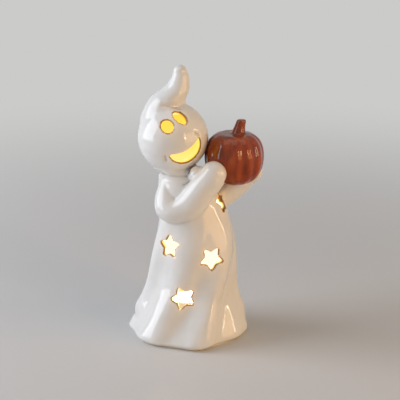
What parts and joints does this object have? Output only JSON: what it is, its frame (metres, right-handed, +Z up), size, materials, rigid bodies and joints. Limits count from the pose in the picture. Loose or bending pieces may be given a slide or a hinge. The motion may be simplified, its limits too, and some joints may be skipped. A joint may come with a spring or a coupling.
{
  "type": "ceramic ghost figure",
  "caption": "Standing ceramic ghost with a curled tip, a cut-out smile and star cut-outs that holds a pumpkin; hollow, lit from inside by a push-in battery light unit.",
  "frame": {"origin": "middle of the whole object's box, on the table under the foot ring", "axes": "+Z up, the face looks towards -Y, the pumpkin is held towards +X"},
  "size_m": [0.0874, 0.0784, 0.1774],
  "materials": {
    "white_glaze": "glossy white glaze",
    "pumpkin_glaze": "glossy brown glaze",
    "unit_plastic": "fine moulded",
    "soft_ring": "matt",
    "plated_steel": "plated",
    "circuit_board": "solder mask",
    "black_plastic": "matt",
    "led_epoxy": "clear",
    "cell_jacket": "plain printed jacket",
    "red_wire": "smooth",
    "white_wire": "smooth",
    "black_wire": "smooth"
  },
  "bodies": {
    "figure": {"ghost_shell": "white_glaze", "right_arm": "white_glaze", "left_arm": "white_glaze", "pumpkin": "pumpkin_glaze"},
    "light_unit": {"unit_housing": "unit_plastic", "unit_cover": "unit_plastic", "plug_ring": "soft_ring", "cover_screws": "plated_steel", "circuit_board": "circuit_board", "resistor": "black_plastic", "led_lens": "led_epoxy", "led_leads": "plated_steel", "cell_front": "cell_jacket", "cell_back": "cell_jacket", "contact_bridge": "plated_steel", "contact_positive": "plated_steel", "contact_negative": "plated_steel", "switch_body": "black_plastic", "switch_terminals": "plated_steel", "battery_wire_red": "red_wire", "switch_wire": "white_wire", "battery_wire_black": "black_wire"},
    "door": {"battery_door": "unit_plastic"},
    "slider": {"switch_slider": "black_plastic"}
  },
  "joints": [
    {"name": "light_unit_pull", "type": "slide", "parent": "figure", "child": "light_unit", "axis": [0, 0, -1], "range_m": [0, 0.04]},
    {"name": "battery_door_hinge", "type": "hinge", "parent": "light_unit", "child": "door", "pos_m": [-0.02967, -0.00057, 0.0022], "axis": [0, 1, 0], "range_deg": [0, 90]},
    {"name": "switch_slide", "type": "slide", "parent": "light_unit", "child": "slider", "axis": [-1, 0, 0], "range_m": [0, 0.0025]}
  ]
}
